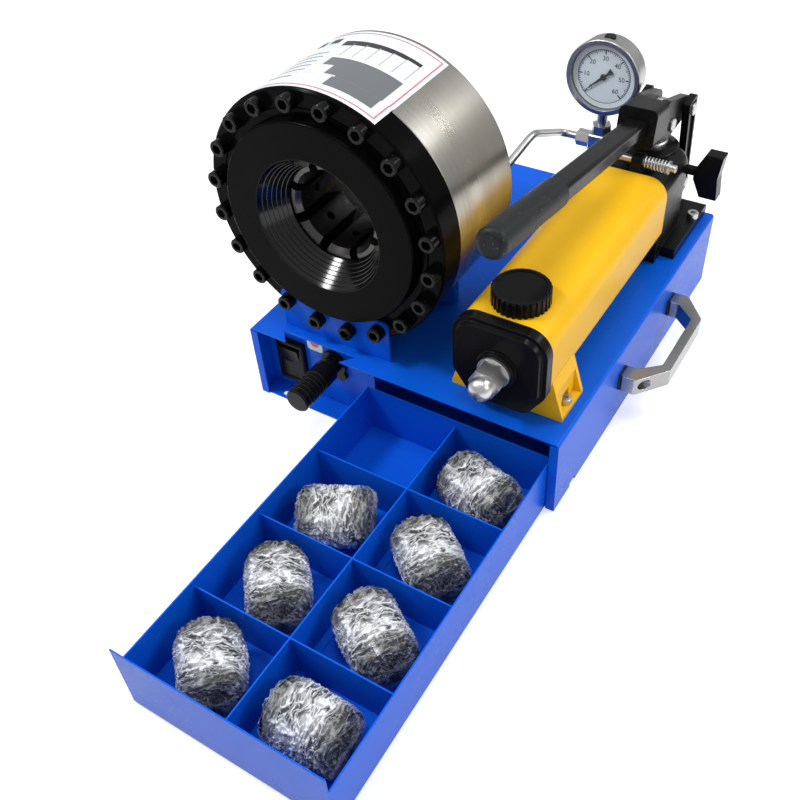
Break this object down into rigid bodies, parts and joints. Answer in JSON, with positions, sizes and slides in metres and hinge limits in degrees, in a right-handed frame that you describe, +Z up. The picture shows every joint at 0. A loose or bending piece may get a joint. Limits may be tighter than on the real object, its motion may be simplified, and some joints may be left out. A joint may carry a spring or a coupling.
{
  "type": "hose crimping machine",
  "caption": "Bench-top hydraulic hose crimping machine with a ring-piston head, hand pump, pressure gauge and die drawer in a blue cabinet.",
  "frame": {"origin": "centre of the cabinet's underside, where it stands on the bench", "axes": "+X to the operator's right, +Y to the back, +Z up; the operator stands at -Y and feeds the hose along Y"},
  "size_m": [0.496, 0.883, 0.41],
  "materials": {
    "blue_paint": "gloss blue powder coat",
    "blackened_steel": "oiled black oxide, turned",
    "black_bolts": "black oxide",
    "turned_steel": "turned bright steel",
    "dark_steel": "phosphated and oiled",
    "die_steel": "oiled",
    "seal_rubber": "matt",
    "grip_rubber": "satin",
    "yellow_paint": "satin yellow enamel",
    "black_plastic": "satin",
    "black_casting": "satin black enamel on a casting",
    "black_paint": "satin",
    "zinc_steel": "zinc plated",
    "gauge_steel": "polished stainless",
    "dial_white": "satin white",
    "clear_glass": "clear",
    "pointer_black": "matt",
    "cast_aluminium": "tumbled casting"
  },
  "bodies": {
    "machine": {"cabinet_shell": "blue_paint", "floor_plate": "blue_paint", "front_panel": "blue_paint", "drawer_guide": "blue_paint", "saddle_plate": "blue_paint", "rear_cradle": "blue_paint", "front_flange": "blackened_steel", "cone_cover": "blackened_steel", "cylinder_body": "turned_steel", "head_bolts": "black_bolts", "pressure_pipe": "zinc_steel", "pipe_fittings": "zinc_steel", "gauge_tee": "zinc_steel", "gauge_case": "gauge_steel", "gauge_dial": "dial_white", "gauge_glass": "clear_glass", "gauge_plug": "black_plastic", "oil_tank": "yellow_paint", "tank_front_cap": "black_plastic", "tie_rod": "zinc_steel", "acorn_nut": "zinc_steel", "tank_foot": "yellow_paint", "pump_bolts": "zinc_steel", "pump_block": "black_casting", "plunger_gland": "zinc_steel", "carry_handles": "cast_aluminium", "handle_pads": "seal_rubber", "handle_screws": "zinc_steel", "switch_bezel": "black_plastic", "tool_socket": "black_paint"},
    "piston": {"ring_piston": "dark_steel", "piston_seal": "seal_rubber"},
    "die_1": {"master_die_1": "dark_steel"},
    "die_2": {"master_die_2": "dark_steel"},
    "die_3": {"master_die_3": "dark_steel"},
    "die_4": {"master_die_4": "dark_steel"},
    "die_5": {"master_die_5": "dark_steel"},
    "die_6": {"master_die_6": "dark_steel"},
    "die_7": {"master_die_7": "dark_steel"},
    "die_8": {"master_die_8": "dark_steel"},
    "drawer": {"drawer_tray": "blue_paint", "drawer_dividers": "blue_paint", "die_sets_back_row": "die_steel", "die_sets_second_row": "die_steel", "die_sets_third_row": "die_steel", "die_sets_front_row": "die_steel"},
    "links": {"lever_links": "black_casting", "link_pins": "zinc_steel"},
    "lever": {"lever_socket": "black_casting", "lever_bar": "black_paint", "lever_grip": "grip_rubber", "lever_pin": "zinc_steel"},
    "plunger": {"pump_plunger": "zinc_steel"},
    "release_knob": {"release_valve_knob": "black_plastic"},
    "latch": {"latch_rod": "zinc_steel", "latch_spring": "zinc_steel"},
    "filler_cap": {"filler_cap": "black_plastic"},
    "pointer": {"gauge_pointer": "pointer_black"},
    "rocker": {"rocker": "black_plastic"},
    "tool": {"die_tool": "black_paint"}
  },
  "joints": [
    {"name": "piston_slide", "type": "slide", "parent": "machine", "child": "piston", "axis": [0, -1, 0], "range_m": [0, 0.045], "stiffness_N_per_m": 2000, "springref_m": -0.01},
    {"name": "die_1_slide", "type": "slide", "parent": "machine", "child": "die_1", "axis": [0, 0, -1], "range_m": [0, 0.0135]},
    {"name": "die_2_slide", "type": "slide", "parent": "machine", "child": "die_2", "axis": [-0.7071, 0, -0.7071], "range_m": [0, 0.0135]},
    {"name": "die_3_slide", "type": "slide", "parent": "machine", "child": "die_3", "axis": [-1, 0, 0], "range_m": [0, 0.0135]},
    {"name": "die_4_slide", "type": "slide", "parent": "machine", "child": "die_4", "axis": [-0.7071, 0, 0.7071], "range_m": [0, 0.0135]},
    {"name": "die_5_slide", "type": "slide", "parent": "machine", "child": "die_5", "axis": [0, 0, 1], "range_m": [0, 0.0135]},
    {"name": "die_6_slide", "type": "slide", "parent": "machine", "child": "die_6", "axis": [0.7071, 0, 0.7071], "range_m": [0, 0.0135]},
    {"name": "die_7_slide", "type": "slide", "parent": "machine", "child": "die_7", "axis": [1, 0, 0], "range_m": [0, 0.0135]},
    {"name": "die_8_slide", "type": "slide", "parent": "machine", "child": "die_8", "axis": [0.7071, 0, -0.7071], "range_m": [0, 0.0135]},
    {"name": "drawer_slide", "type": "slide", "parent": "machine", "child": "drawer", "axis": [0, 1, 0], "range_m": [0, 0.4]},
    {"name": "link_swing", "type": "hinge", "parent": "machine", "child": "links", "pos_m": [0.123, 0.234, 0.14], "axis": [1, 0, 0], "range_deg": [0, 2.65]},
    {"name": "lever_swing", "type": "hinge", "parent": "links", "child": "lever", "pos_m": [0.123, 0.216, 0.251], "axis": [-1, 0, 0], "range_deg": [0, 36]},
    {"name": "plunger_slide", "type": "slide", "parent": "machine", "child": "plunger", "axis": [0, 0, 1], "range_m": [0, 0.0246]},
    {"name": "release_turn", "type": "hinge", "parent": "machine", "child": "release_knob", "pos_m": [0.17, 0.183, 0.19], "axis": [1, 0, 0], "range_deg": [0, 180]},
    {"name": "latch_slide", "type": "slide", "parent": "machine", "child": "latch", "axis": [-1, 0, 0], "range_m": [0, 0.01], "stiffness_N_per_m": 600, "springref_m": -0.006, "deforming": ["latch_spring"]},
    {"name": "filler_cap_turn", "type": "hinge", "parent": "machine", "child": "filler_cap", "pos_m": [0.123, -0.176, 0.236], "axis": [0, 0, 1], "range_deg": [0, 540]},
    {"name": "pointer_turn", "type": "hinge", "parent": "machine", "child": "pointer", "pos_m": [0.042, 0.206, 0.272], "axis": [0, 1, 0], "range_deg": [0, 270]},
    {"name": "rocker_tilt", "type": "hinge", "parent": "machine", "child": "rocker", "pos_m": [-0.162, -0.21, 0.049], "axis": [-1, 0, 0], "range_deg": [0, 10]},
    {"name": "tool_pull", "type": "slide", "parent": "machine", "child": "tool", "axis": [0, -1, 0], "range_m": [0, 0.03]}
  ],
  "couplings": [
    {"joint": "die_1_slide", "follows": "piston_slide", "ratio": 0.3},
    {"joint": "die_2_slide", "follows": "piston_slide", "ratio": 0.3},
    {"joint": "die_3_slide", "follows": "piston_slide", "ratio": 0.3},
    {"joint": "die_4_slide", "follows": "piston_slide", "ratio": 0.3},
    {"joint": "die_5_slide", "follows": "piston_slide", "ratio": 0.3},
    {"joint": "die_6_slide", "follows": "piston_slide", "ratio": 0.3},
    {"joint": "die_7_slide", "follows": "piston_slide", "ratio": 0.3},
    {"joint": "die_8_slide", "follows": "piston_slide", "ratio": 0.3},
    {"joint": "link_swing", "follows": "lever_swing", "ratio": 0.073},
    {"joint": "plunger_slide", "follows": "lever_swing", "m_per_rad": 0.03895}
  ]
}
